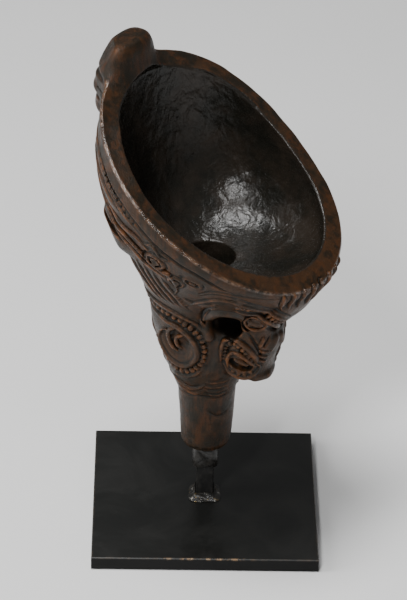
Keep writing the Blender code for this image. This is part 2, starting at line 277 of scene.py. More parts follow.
class Carving:
    """The funnel's distance field, and the strokes that shape it."""

    def __init__(self, values, first):
        self.values = values
        self.first = np.array(first)
        self.tree = None

    def settle(self):
        """Takes the surface as it stands for the one that strokes follow."""
        points, quads = surface_of(self.values, self.first)
        self.tree = BVHTree.FromPolygons(points.tolist(), quads.tolist())

    def part(self, low, high):
        """Slices of the grid between two corners, and where they start."""
        start, size = cells(low, high)
        stop = np.minimum(start - self.first + size, self.values.shape)
        start = np.maximum(start - self.first, 0)
        return tuple(slice(a, max(a, b)) for a, b in zip(start, stop)), start

    def join(self, rows, low, high, k, cut=False):
        """Adds a loft to the solid, or cuts it away, with a blend k wide."""
        window, start = self.part(low, high)
        other = distance_field(rows, self.first + start, [s.stop - s.start for s in window])
        here = self.values[window]
        self.values[window] = -blend_min(-here, other, k) if cut else blend_min(here, other, k)

    def wide_join(self, rows_a, rows_b, low, high, k):
        """Joins two lofts with a blend wider than the band that is kept."""
        window, start = self.part(low, high)
        shape = [s.stop - s.start for s in window]
        a, b = (distance_field(rows, self.first + start, shape, k + 1)
                for rows in (rows_a, rows_b))
        self.values[window] = np.clip(blend_min(a, b, k), -BAND, BAND)

    def plane_cut(self, point, outward, low, high, k):
        """Slices off what stands beyond a plane, between two corners."""
        window, _ = self.part(low, high)
        x, y, z = ((axis + f) * VOXEL for axis, f in zip(np.ogrid[window], self.first))
        nx, ny, nz = np.array(outward) / np.linalg.norm(outward)
        beyond = (x - point[0]) * nx + (y - point[1]) * ny + (z - point[2]) * nz
        self.values[window] = -blend_min(-self.values[window], -beyond.astype(np.float32), k)

    def near(self, point):
        """The closest place on the uncarved surface, and the way out from it."""
        place, normal, _, _ = self.tree.find_nearest(Vector([float(c) for c in point]))
        return np.array(place), np.array(normal)

    def stroke(self, path, radius, lift, k=0.5, cut=False, closed=False, taper=True, beads=False):
        """Raises a rounded ridge, or cuts a gouge, along a path of (place, normal) pairs.

        radius is the tool's, lift how far its centre stands off the surface. With beads, each pair of
        neighbouring places makes a short stroke of its own.
        """
        places = np.array([p for p, _ in path])
        normals = np.array([n for _, n in path])
        centres = places + lift * normals
        if beads:
            starts, ends = centres[0::2], centres[1::2]
            size_a = size_b = np.full(len(starts), radius)
        else:
            if closed:
                centres = np.concatenate([centres, centres[:1]])
            along = np.linspace(0, 1, len(centres))
            size = np.full(len(centres), radius)
            if taper and not closed:
                size = radius * (0.35 + 0.65 * np.minimum(1, np.minimum(along, 1 - along) / 0.18))
            starts, ends = centres[:-1], centres[1:]
            size_a, size_b = size[:-1], size[1:]
        reach = radius + k + VOXEL
        window, corner = self.part(centres.min(0) - reach, centres.max(0) + reach)
        if any(s.stop <= s.start for s in window):
            return
        here = self.values[window]
        nearest = np.full(here.shape, 99.0, np.float32)
        for a, b, ra, rb in zip(starts, ends, size_a, size_b):
            low, high = np.minimum(a, b) - reach, np.maximum(a, b) + reach
            box, _ = self.part(low, high)
            local = tuple(slice(max(s.start - c, 0), max(s.stop - c, 0))
                          for s, c in zip(box, corner))
            x, y, z = ((axis + f) * VOXEL - o for axis, f, o in zip(np.ogrid[box], self.first, a))
            line = b - a
            length = max(float(line @ line), 1e-9)
            t = np.clip((x * line[0] + y * line[1] + z * line[2]) / length, 0, 1)
            apart = np.sqrt((x - t * line[0]) ** 2 + (y - t * line[1]) ** 2
                            + (z - t * line[2]) ** 2) - (ra + (rb - ra) * t)
            nearest[local] = np.minimum(nearest[local], apart)
        self.values[window] = -blend_min(-here, nearest, k) if cut else blend_min(here, nearest, k)


def spline(points, spacing=1.0, closed=False):
    """A smooth curve through the points, as places about one spacing apart."""
    points = np.array(points, float)
    if closed:
        ring = np.concatenate([points[-1:], points, points[:2]])
    else:
        ring = np.concatenate([2 * points[:1] - points[1:2], points, 2 * points[-1:] - points[-2:-1]])
    made = []
    for i in range(len(ring) - 3):
        a, b, c, d = ring[i:i + 4]
        steps = max(int(np.linalg.norm(c - b) / spacing), 1)
        f = np.linspace(0, 1, steps, endpoint=False)[:, None]
        made.append(0.5 * (2 * b + (c - a) * f + (2 * a - 5 * b + 4 * c - d) * f ** 2
                           + (3 * b - a - 3 * c + d) * f ** 3))
    if not closed:
        made.append(points[-1:])
    return np.concatenate(made)


# ---- the carved relief ----

def outer_place(theta_degrees, height):
    """On the plain outer surface: height 0 to 1 up the neck, 1 to 2 up the bowl."""
    theta = np.radians(theta_degrees)
    return neck_point(theta, 1 - height) if height < 1 else bowl_outside(theta, height - 1)


class Side:
    """One side of the funnel, so that each stroke is given once and cut on both."""

    def __init__(self, carving, sign):
        self.carving = carving
        self.sign = sign

    def places(self, path):
        """A path's points in space: arrays are places already, and tuples are marks.

        A mark is an angle in degrees and a height on the outer surface, or (u, v, z). Both are
        given for the near side, where angles and v are negative.
        """
        found = []
        for mark in path:
            if isinstance(mark, np.ndarray):
                found.append(mark)
            elif len(mark) == 2:
                found.append(outer_place(self.sign * mark[0], mark[1]))
            else:
                found.append(np.array([mark[0], self.sign * mark[1], mark[2]]))
        return found

    def on(self, path, closed=False, spacing=1.0):
        """The path smoothed and laid on the surface, with the way out at each place."""
        return [self.carving.near(p) for p in spline(self.places(path), spacing, closed)]

    def ridge(self, path, radius, height, k=0.6, closed=False, taper=True):
        self.carving.stroke(self.on(path, closed), radius, height - radius, k,
                            closed=closed, taper=taper)

    def groove(self, path, radius, depth, k=0.5, closed=False, taper=True):
        self.carving.stroke(self.on(path, closed), radius, radius - depth, k,
                            cut=True, closed=closed, taper=taper)

    def line(self, path, radius, height):
        """A raised line standing in a shallow trough of its own."""
        self.groove(path, 2.1 * radius, 0.75 * height, 0.5)
        self.ridge(path, radius, 0.85 * height, 0.3)

    def beads(self, path, spacing, radius, height, length, k=0.4, cut=False):
        """Short strokes across a path, such as notches, teeth or pearls."""
        path = self.on(path, spacing=0.5)
        steps = np.linalg.norm(np.diff([p for p, _ in path], axis=0), axis=1)
        along = np.concatenate([[0], np.cumsum(steps)])
        count = max(int(along[-1] / spacing), 1)
        marks = []
        for i in range(count):
            j = int(np.searchsorted(along, (i + 0.5) * along[-1] / count))
            j = min(max(j, 1), len(path) - 1)
            place, normal = path[j]
            across = np.cross(normal, path[j][0] - path[j - 1][0])
            across /= max(np.linalg.norm(across), 1e-9)
            marks += [(place - across * length / 2, normal), (place + across * length / 2, normal)]
        lift = radius - height if cut else height - radius
        self.carving.stroke(marks, radius, lift, k, cut, beads=True)


def oval(centre, half_wide, half_high, count):
    """(angle, height) pairs round an oval."""
    turns = [math.tau * i / count for i in range(count)]
    return [(centre[0] + half_wide * math.cos(a), centre[1] + half_high * math.sin(a)) for a in turns]


def carve_spiral(side):
    """The big coil low on the neck, with its notched band."""
    side.groove(oval((-92, 0.7), 13, 0.12, 10), 3.6, 1.7, 1.0, closed=True)
    side.groove([(-92, 0.72), (-90, 0.68)], 4.0, 2.0, 1.0)
    band = [(-132, 1.07), (-118, 1.06), (-106, 1.05), (-96, 1.04), (-88, 1.02), (-78, 0.99), (-69, 0.94),
        (-61, 0.85), (-57, 0.74), (-57, 0.61), (-62, 0.5), (-72, 0.42), (-84, 0.37), (-100, 0.36),
        (-114, 0.42), (-124, 0.52), (-128, 0.66)]
    side.groove(band, 2.0, 1.3, 0.6)
    coil = [(-134, 1.02), (-120, 1.0), (-106, 0.98), (-96, 0.955), (-87, 0.945), (-78, 0.9), (-70, 0.83),
        (-66, 0.73), (-66, 0.61), (-73, 0.51), (-84, 0.45), (-98, 0.45), (-110, 0.5), (-117, 0.59),
        (-117, 0.7), (-109, 0.81), (-100, 0.85)]
    side.ridge(coil, 1.3, 1.4, 0.4)
    side.ridge([(-84, 0.92), (-92, 0.9), (-98, 0.83), (-99, 0.74), (-95, 0.66), (-88, 0.62)], 1.1, 1.0, 0.4)
    side.ridge([(-80, 0.84), (-86, 0.82), (-89, 0.76), (-87, 0.7), (-82, 0.68)], 1.0, 0.9, 0.4)
    side.beads(band, 2.9, 1.25, 0.75, 0.7, 0.3)
    side.line([(-136, 1.12), (-120, 1.13), (-102, 1.13), (-90, 1.12), (-80, 1.1), (-69, 1.05), (-61, 0.97),
        (-54, 0.88)], 1.0, 1.1)
    side.groove([(-50, 0.92), (-49, 0.78), (-49, 0.62), (-53, 0.48), (-62, 0.36)], 2.2, 1.2, 1.2)
    side.line([(-112, 0.27), (-96, 0.28), (-82, 0.3), (-71, 0.34), (-63, 0.4)], 0.9, 0.8)


def carve_arms(side):
    """The ridges that sweep from the back down to the coil, and the fans between them."""
    side.ridge([(-132, 1.6), (-125, 1.58), (-119, 1.54)], 7.0, 2.8, 4.2, taper=False)
    side.ridge([(-150, 1.88), (-130, 1.85), (-112, 1.83)], 9.0, 0.6, 4.0)
    side.line([(-160, 1.8), (-140, 1.76), (-126, 1.69), (-120, 1.66), (-110, 1.685), (-100, 1.685),
        (-90, 1.665), (-82, 1.665), (-77, 1.675), (-74, 1.62), (-74, 1.53), (-77, 1.44)], 0.95, 1.4)
    side.line([(-160, 1.86), (-140, 1.83), (-124, 1.77), (-112, 1.755), (-104, 1.77), (-98, 1.785),
        (-92, 1.775), (-86, 1.75)], 0.9, 1.2)
    side.line([(-150, 1.7), (-130, 1.62), (-114, 1.615), (-104, 1.625), (-96, 1.6), (-88, 1.6), (-81, 1.6)],
        0.9, 1.3)
    side.groove([(-140, 1.72), (-126, 1.65), (-112, 1.65), (-101, 1.65), (-90, 1.63), (-82, 1.635)],
        0.7, 1.0, 0.3)
    fans = [
        ((-114, 1.5), (-110, 1.36), (-105, 1.27), (-98, 1.2)),
        ((-106, 1.54), (-102, 1.4), (-98, 1.3), (-90, 1.22)),
        ((-99, 1.55), (-95, 1.43), (-90, 1.33), (-83, 1.23)),
        ((-92, 1.56), (-88, 1.45), (-83, 1.36), (-77, 1.24)),
        ((-85, 1.56), (-81, 1.49), (-77, 1.4), (-70, 1.26)),
    ]
    for fan in fans:
        side.line(fan, 0.8, 1.0)
    side.beads([(-79, 1.46), (-75, 1.38), (-70, 1.31)], 2.2, 0.9, 0.6, 1.2, 0.3)
    side.line([(-93, 1.79), (-88, 1.84), (-85, 1.835), (-82, 1.8), (-78, 1.815), (-75, 1.85)], 0.7, 0.8)
    for loop in (((-94, 1.7), (-88, 1.77), (-82, 1.78), (-79, 1.73), (-84, 1.66), (-90, 1.64)),
                 ((-80, 1.6), (-76, 1.68), (-71, 1.7), (-68, 1.66), (-71, 1.58), (-76, 1.55)),
                 ((-70, 1.73), (-65, 1.78), (-59, 1.78), (-58, 1.73), (-64, 1.7))):
        places = side.places(loop)
        middle = np.mean(places, axis=0)
        inner = [p * 0.55 + middle * 0.45 for p in places]
        side.groove(places, 0.9, 0.9, 0.5, closed=True)
        side.ridge(inner, 2.2, 0.9, 1.2, closed=True)
        side.groove(inner, 0.6, 0.3, 0.4, closed=True)
    side.line([(-74, 1.43), (-66, 1.42), (-60, 1.43), (-55, 1.48), (-49, 1.55)], 0.9, 0.9)
    side.line([(-66, 1.36), (-62, 1.44), (-56, 1.54), (-50, 1.64), (-44, 1.69), (-36, 1.72)], 0.8, 0.9)
    for rise in (0.05, 0.1):
        side.groove([(-60, 1.52 + rise), (-52, 1.66 + rise), (-44, 1.72 + rise), (-34, 1.74 + rise)],
            0.6, 0.6, 0.3)
    side.line([(-47, 0.9), (-54, 0.95), (-58, 1.07), (-57, 1.25), (-54, 1.39), (-49, 1.46)], 1.0, 1.1)
    side.groove([(-50, 0.97), (-53.5, 1.05), (-53.5, 1.2), (-51, 1.31)], 0.9, 1.0, 0.4)


def carve_under_rim(side):
    """The plain band below the mouth and the lines that bound it."""
    side.groove([(-178, 1.93), (-160, 1.93), (-144, 1.935), (-132, 1.93), (-124, 1.92), (-112, 1.91),
        (-102, 1.9), (-92, 1.885), (-82, 1.87), (-70, 1.87), (-60, 1.88), (-46, 1.845), (-36, 1.85),
        (-28, 1.88), (-20, 1.93)], 0.7, 0.8, 0.3)
    side.line([(-176, 1.885), (-150, 1.885), (-136, 1.875), (-124, 1.865), (-112, 1.86), (-100, 1.85),
        (-93, 1.83)], 0.8, 0.8)
    side.beads([(-172, 1.91), (-150, 1.91), (-130, 1.9), (-112, 1.885), (-98, 1.875)],
        3.0, 0.6, 0.6, 1.2, cut=True)


def carve_spout_top(side):
    """The scalloped lower edge of the carving, and the bars above it."""
    side.groove([(-178, 0.03), (-150, 0.02), (-120, 0.015), (-95, 0.01), (-72, 0.03), (-52, 0.02),
        (-30, 0.01), (-2, 0.02)], 0.8, 0.7, 0.4)
    side.line([(-120, 0.22), (-100, 0.17), (-84, 0.13), (-70, 0.15), (-58, 0.21)], 1.0, 1.0)
    side.line([(-112, 0.13), (-96, 0.09), (-82, 0.06), (-68, 0.07)], 0.9, 0.8)
    for low, high, height in ((-60, -12, 0.23), (-62, -14, 0.165), (-60, -16, 0.1), (-54, -20, 0.045)):
        side.line([(low, height + 0.02), ((low + high) / 2, height), (high, height + 0.01)], 0.8, 0.6)
    mark = ((-56, 60.5), (-44, 58.0), (-30, 56.6), (-14, 57.2), (-2, 58.6))
    side.groove([circle(np.radians(side.sign * a), 12.4, z) for a, z in mark], 0.6, 0.4)


def carve_face(side):
    """The side of the face below the lip: the pierced arch, eye, brows and open mouth."""
    side.groove([(17, -17, 112), (19, -21, 117.5), (22, -24, 120.5), (25, -22, 121), (26.5, -18, 117.5),
        (26, -17, 114)], 3.4, 3.2, 1.0, taper=False)
    side.ridge([(12.5, -18, 106), (12.0, -19, 112), (14.0, -22, 118), (18.5, -26, 123.5), (23.5, -29, 127),
        (28, -29.5, 127.5), (31, -26, 125), (31.5, -21, 120.5), (31.5, -18, 115)],
        2.4, 2.0, 1.2, taper=False)
    side.groove([(12, -21, 115), (14, -26, 121), (19, -31, 128), (25, -34, 133)], 0.9, 0.9, 0.4)
    # the mouth, an arch between two lips
    teeth = [(17.6, -13.5, 92), (18.3, -14, 98), (20, -14.5, 102), (22.6, -15, 104.3), (25.4, -15.5, 104.2),
        (28, -14.5, 102), (30, -12.8, 99), (31.6, -11, 95.5), (32.6, -8.5, 91.5)]
    side.groove(teeth, 1.9, 1.3, 0.5)
    side.groove([(22.4, -14, 93), (25.5, -13, 93), (29.2, -11, 91.6)], 3.6, 5.0, 0.4)
    side.ridge([(15.6, -13, 92), (16.4, -14, 98), (18, -14.5, 102.8), (21.2, -15.5, 106.6),
        (25, -16, 107.6), (28.6, -15, 105.4), (31, -13.5, 102.4), (32.8, -11.5, 98), (33.8, -9, 93),
        (33.8, -7, 90)], 1.3, 1.7, 0.4)
    side.ridge([(19.6, -13, 89.5), (20.2, -14, 95), (22.2, -15, 98.8), (25.2, -15, 100.2),
        (28.2, -13.6, 98.4), (30.4, -11.8, 95), (32, -9, 91.5)], 1.0, 1.5, 0.3)
    side.beads(teeth, 2.35, 1.05, 0.7, 0.4, 0.25)
    tongue = side.on([(22.6, -14, 95.6), (25.4, -13, 94.2), (28.4, -11, 92.6)])
    inward = np.array([0, 1.6 * side.sign, 0])
    side.carving.stroke([(p + inward, n) for p, n in tongue], 1.5, -0.2, 0.4)
    side.ridge([(17, -12, 90), (19.5, -11, 86.8), (23, -11, 85.6), (27, -10, 85.2), (30.5, -8.5, 87),
        (33, -7, 90)], 1.1, 1.3, 0.4)
    side.beads([(20.6, -12.5, 89.2), (23.5, -12, 87.9), (27, -11, 87.4), (30.4, -9, 88.8)],
        2.5, 1.0, 0.9, 0.7, 0.3)
    side.groove([(17.5, -9, 84.4), (23, -9, 83), (30, -7.5, 83.2)], 0.7, 0.7)
    side.ridge([(29.5, -6, 84.5), (30.5, 0, 84.5)], 2.2, 1.4, 1.5, taper=False)
    # the eye, a lens between two lids
    lids = [(31, -18, 119), (32.5, -18.5, 122.6), (36, -18, 124.6), (39.2, -16.5, 122.6),
        (39.6, -14, 118.8), (37.4, -13, 116), (34.8, -14, 114.8), (32.4, -16, 116)]
    side.groove(lids, 1.6, 1.2, 0.5, closed=True)
    side.ridge([(34, -17, 120), (37, -15.4, 119.2)], 2.4, 1.1, 0.3, taper=False)
    side.ridge(lids, 0.75, 1.1, 0.3, closed=True)
    upper = side.places([(36, -34.5, 140), (39, -31.5, 138), (41.8, -25, 133.5), (43, -18, 129),
        (45, -12, 124.5), (45, -7, 121.5)])
    lower = side.places([(33.5, -29, 132), (35.5, -23, 128.5), (38.5, -18.5, 126), (41, -13.5, 121.5),
        (40.5, -7, 116), (39, -2, 112.5)])
    middle = [(a + b) / 2 for a, b in zip(upper, lower)]
    side.groove(middle, 1.8, 1.5, 0.5)
    side.ridge(upper, 1.0, 1.4, 0.4)
    side.ridge(lower, 1.1, 1.6, 0.4)
    side.beads(middle, 2.7, 0.95, 0.6, 1.0, 0.3)
    side.groove([p + np.array([1.0, 0, 3.2]) for p in upper], 0.9, 1.0, 0.4)
    # nose, nostril curl and the stripes of the cheek
    side.groove([(30.5, -15, 112), (32.6, -13, 107.5), (34.4, -11, 102), (35.2, -8.6, 96),
        (34.4, -6.4, 90.5)], 0.8, 1.0, 0.4)
    side.ridge([(38.5, -1.5, 108.5), (39, -3, 104), (39, -5.0, 100), (38, -7, 97.5)], 2.2, 1.1, 1.0)
    side.groove([(37, -6, 108.5), (37.6, -8, 105.5), (37, -9.6, 103)], 0.9, 1.2, 0.4)
    side.line([(36.5, -9.0, 109), (36.8, -11, 106), (36, -12, 103)], 0.8, 0.9)
    for drop in (0.0, 3.2, 6.2):
        side.line([(34.6, -10.6, 101.5 - drop), (36.2, -8.2, 99.6 - drop), (37.2, -4.6, 98.6 - drop)],
            0.7, 0.8)
    side.groove([(41, -14, 114.5), (39.6, -7, 111.5), (39.2, 0, 110.5)], 2.2, 2.4, 0.8)
    # ribs below the lip of the bowl
    for v, fall in ((-2.5, 0), (-8.5, 0), (-14.5, 1), (-20.5, 3)):
        side.line([(57, v * 1.12, 142 - fall * 0.2), (53, v, 135), (50, v * 0.85, 129.5)], 1.1, 1.3)


def carve_knob(side):
    """The worn head at the mouth's high end, and its body down the back."""
    side.groove([(-57, -1, 214.5), (-55, -7, 213.5), (-50, -11, 212.5), (-44, -12, 211)], 1.2, 0.9, 1.2)
    side.ridge([(-58, -3, 207.5), (-56, -7.5, 206), (-52, -10.5, 205)], 2.6, 0.5, 1.6)
    side.groove([(-58, -1, 202.5), (-56, -6.5, 201.5), (-50, -10.5, 200.5)], 1.3, 1.2, 1.0)
    side.ridge([(-57, -2, 197), (-55, -6.5, 196), (-50, -10, 194)], 2.4, 0.9, 1.6)
    side.groove([(-56, -1, 190.5), (-53, -7, 190), (-48, -11, 188.5)], 1.2, 1.0, 1.0)
    for height in (1.78, 1.66, 1.54, 1.42):
        chevron = [(-180, height - 0.05), (-168, height), (-156, height + 0.03), (-146, height + 0.03)]
        side.line(chevron, 1.0, 1.0)
    for height in (1.32, 1.22):
        side.line([(-180, height - 0.03), (-160, height), (-140, height + 0.01)], 0.9, 0.8)
    side.line([(-180, 0.92), (-168, 0.8), (-150, 0.72), (-138, 0.6)], 1.1, 1.1)
    side.line([(-180, 0.72), (-168, 0.62), (-152, 0.52), (-138, 0.42)], 1.1, 1.1)
    side.line([(-180, 0.52), (-166, 0.44), (-150, 0.36), (-134, 0.28)], 1.0, 0.9)
    side.line([(-180, 0.3), (-164, 0.24), (-146, 0.19), (-130, 0.14)], 1.0, 0.8)


def carved_field():
    """The whole funnel's field after carving, and its hollow's field on its own."""
    theta = np.arange(SIDES) * math.tau / SIDES
    first, shape = cells(GRID_LOW, GRID_HIGH)
    body = outside_rows(theta)
    carving = Carving(distance_field(body, first, shape), first)
    carving.join(section_rows(FACE, theta), (0, -24, 76), (60, 24, 140), 2.5)
    knob = section_rows(KNOB, theta, KNOB_SQUARE)
    carving.wide_join(body, knob, (-68, -34, 170), (-20, 34, 232), 10.0)
    carving.plane_cut((-50.5, -9.5, 220.0), (-0.62, -0.62, 0.48), (-66, -24, 206), (-38, 0, 232), 1.0)
    carving.settle()
    for sign in (1, -1):
        side = Side(carving, sign)
        carve_arms(side)
        carve_under_rim(side)
        carve_spout_top(side)
        carve_spiral(side)
        carve_knob(side)
        carve_face(side)
    carving.join(tunnel_rows(theta), (8, -40, 104), (34, 40, 124), 1.6, cut=True)
    hollow = distance_field(hollow_rows(theta), first, shape)
    carving.values = -blend_min(-carving.values, hollow, 0.5)
    return carving.values, first, hollow


# ---- the funnel's mesh ----

def neighbours(quads, count):
    """For averaging over a mesh's edges: both ends of every edge, and each point's number of them."""
    ends = np.concatenate([quads[:, [0, 1]], quads[:, [1, 2]], quads[:, [2, 3]], quads[:, [3, 0]]])
    starts, stops = ends[:, 0], ends[:, 1]
    degree = np.bincount(starts, minlength=count)
    return starts, stops, np.maximum(degree, 1)


def average(values, links):
    starts, stops, degree = links
    return np.stack([np.bincount(starts, values[stops, i], len(values)) / degree
                     for i in range(values.shape[1])], -1)


def normals_of(points, quads):
    a, b, c, d = (points[quads[:, i]] for i in range(4))
    face = np.cross(c - a, d - b)
    total = np.zeros_like(points)
    for i in range(4):
        for axis in range(3):
            total[:, axis] += np.bincount(quads[:, i], face[:, axis], len(points))
    return total / np.maximum(np.linalg.norm(total, axis=1, keepdims=True), 1e-12)


def sample(values, first, points):
    """The field's value at each point, from the nearest grid cell."""
    at = np.round(points / VOXEL).astype(int) - np.array(first)
    at = np.clip(at, 0, np.array(values.shape) - 1)
    return values[at[:, 0], at[:, 1], at[:, 2]]


def adze_marks(points, inside, normals):
    """Shallow scoops left by the gouge all over the bowl's inside."""
    chosen = np.flatnonzero(inside > 0.9)
    random = np.random.default_rng(7)
    seeds = points[random.choice(chosen, 520, replace=False)]
    depth = np.zeros(len(points))
    for start in range(0, len(chosen), 6000):
        part = chosen[start:start + 6000]
        apart = np.sqrt(((points[part, None, :] - seeds[None]) ** 2).sum(-1))
        two = np.partition(apart, 1, axis=1)[:, :2]
        edge = np.clip((two[:, 1] - two[:, 0]) / 6.0, 0, 1)
        depth[part] = 0.16 * edge * edge * (3 - 2 * edge)
    return points - normals * (depth * inside)[:, None]


def hand_wobble(points, random):
    """Slow unevenness of a shape cut by eye, in millimetres along the normal."""
    total = np.zeros(len(points))
    for length, size in ((31, 0.22), (23, 0.18), (14, 0.12), (9, 0.08), (6, 0.05), (4.2, 0.04)):
        for _ in range(3):
            way = random.normal(size=3)
            way *= math.tau / length / np.linalg.norm(way)
            total += size * np.sin(points @ way + random.uniform(0, math.tau))
    return total


def rim_edge(points):
    """1 along the mouth's outer edge, fading over half a millimetre."""
    u, z = points[:, 0] - RIM_U, points[:, 2] - RIM_Z
    along = u * math.cos(RIM_TILT) - z * math.sin(RIM_TILT)
    above = u * math.sin(RIM_TILT) + z * math.cos(RIM_TILT)
    theta = np.arctan2(points[:, 1], along)
    out = np.hypot(along, points[:, 1]) - mouth_radius(theta)
    return np.clip((1.05 - np.hypot(out + 0.25, above + 0.25)) / 0.45, 0, 1)


def build_funnel(look):
    """The carved mesh, with the shares that its material reads as point attributes."""
    values, first, hollow = carved_field()
    points, quads = surface_of(values, first)
    links = neighbours(quads, len(points))
    points = 0.7 * points + 0.3 * average(points, links)
    normals = normals_of(points, quads)
    inside = np.clip(1 - sample(hollow, first, points) / 1.6, 0, 1)
    inside *= points[:, 2] > SPOUT_Z + 1
    # pierced covers the hole behind the face, which the wood's material paints nearly black as painted
    # shade.
    from_hole = (((points[:, 0] - HOLE_U) / (HOLE_LENGTH / 2)) ** 2
                 + ((points[:, 2] - HOLE_Z) / (HOLE_HEIGHT / 2)) ** 2)
    pierced = np.clip((1.4 - from_hole) / 0.3, 0, 1) * (np.abs(points[:, 1]) < 17)
    smooth = points
    for _ in range(7):
        smooth = average(smooth, links)
    fine = ((points - smooth) * normals).sum(1)
    for _ in range(26):
        smooth = average(smooth, links)
    broad = ((points - smooth) * normals).sum(1)
    points = adze_marks(points, inside, normals)
    calm = np.clip((points[:, 2] - SPOUT_Z) / 6, 0, 1) * (1 - 0.4 * inside)
    points = points + normals * (0.26 * calm * hand_wobble(points, np.random.default_rng(11)))[:, None]
    arris = rim_edge(points)
    mesh = bpy.data.meshes.new("carved_funnel_detailed")
    turned = Matrix.Rotation(FACING, 3, "Z")
    world = (points @ np.array(turned).T) * MM
    mesh.vertices.add(len(points))
    mesh.vertices.foreach_set("co", world.astype(np.float32).ravel())
    mesh.loops.add(quads.size)
    mesh.loops.foreach_set("vertex_index", quads.astype(np.int32).ravel())
    mesh.polygons.add(len(quads))
    mesh.polygons.foreach_set("loop_start", np.arange(0, quads.size, 4, dtype=np.int32))
    mesh.update(calc_edges=True)
    mesh.shade_smooth()
    for name, values in (("fine", fine), ("broad", broad), ("inside", inside), ("pierced", pierced),
                         ("arris", arris)):
        mesh.attributes.new(name, "FLOAT", "POINT").data.foreach_set("value", values.astype(np.float32))
    mesh.materials.append(look)
    funnel = added("funnel_carving", mesh)
    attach(funnel, "funnel")
    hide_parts("carved_funnel")


# ---- materials ----

class Look:
    """A material being built: short calls for the nodes that this scene uses."""

    def __init__(self, name):
        self.material = bpy.data.materials.new(name)
        self.material.use_nodes = True
        self.tree = self.material.node_tree
        self.shader = self.tree.nodes["Principled BSDF"]

    def node(self, kind, **settings):
        made = self.tree.nodes.new(kind)
        for key, value in settings.items():
            setattr(made, key, value)
        return made

    def put(self, socket, value):
        if isinstance(value, bpy.types.NodeSocket):
            self.tree.links.new(value, socket)
        elif isinstance(value, tuple) and len(value) == 3 and socket.type == "RGBA":
            socket.default_value = (*value, 1.0)
        else:
            socket.default_value = value

    def place(self, stretch=(1, 1, 1), turn=0.0):
        """Object coordinates in millimetres, scaled along each axis."""
        mapping = self.node("ShaderNodeMapping")
        self.put(mapping.inputs["Vector"], self.node("ShaderNodeTexCoord").outputs["Object"])
        mapping.inputs["Rotation"].default_value = (0, 0, turn)
        mapping.inputs["Scale"].default_value = [1000 * s for s in stretch]
        return mapping.outputs["Vector"]

    def noise(self, scale, detail, rough, bend=0.0, stretch=(1, 1, 1), turn=0.0):
        vector = self.place(stretch, turn)
        made = self.node("ShaderNodeTexNoise")
        for key, value in (("Vector", vector), ("Scale", scale), ("Detail", detail),
                           ("Roughness", rough), ("Distortion", bend)):
            self.put(made.inputs[key], value)
        return made.outputs["Fac"]

    def reach(self, value, low, high, to_low=0.0, to_high=1.0):
        made = self.node("ShaderNodeMapRange", clamp=True, interpolation_type="SMOOTHSTEP")
        for key, given in (("Value", value), ("From Min", low), ("From Max", high),
                           ("To Min", to_low), ("To Max", to_high)):
            self.put(made.inputs[key], given)
        return made.outputs["Result"]

    def math(self, operation, a, b=0.0):
        made = self.node("ShaderNodeMath", operation=operation)
        self.put(made.inputs[0], a)
        self.put(made.inputs[1], b)
        return made.outputs[0]

    def times(self, a, b):
        return self.math("MULTIPLY", a, b)

    def plus(self, a, b):
        return self.math("ADD", a, b)

    def axes(self):
        """Object coordinates in millimetres, as three values."""
        split = self.node("ShaderNodeSeparateXYZ")
        self.put(split.inputs[0], self.place())
        return split.outputs

    def mix(self, share, a, b):
        made = self.node("ShaderNodeMix", data_type="RGBA")
        self.put(made.inputs[0], share)
        self.put(made.inputs[6], a)
        self.put(made.inputs[7], b)
        return made.outputs[2]

    def attribute(self, name):
        return self.node("ShaderNodeAttribute", attribute_name=name).outputs["Fac"]

    def bump(self, height, strength, distance, below=None):
        made = self.node("ShaderNodeBump")
        self.put(made.inputs["Height"], height)
        self.put(made.inputs["Strength"], strength)
        self.put(made.inputs["Distance"], distance * MM)
        if below is not None:
            self.put(made.inputs["Normal"], below)
        return made.outputs["Normal"]

    def finish(self, colour, roughness, normal, metallic=0.0, specular=0.5):
        for key, value in (("Base Color", colour), ("Roughness", roughness), ("Normal", normal),
                           ("Metallic", metallic), ("Specular IOR Level", specular)):
            self.put(self.shader.inputs[key], value)
        return self.material


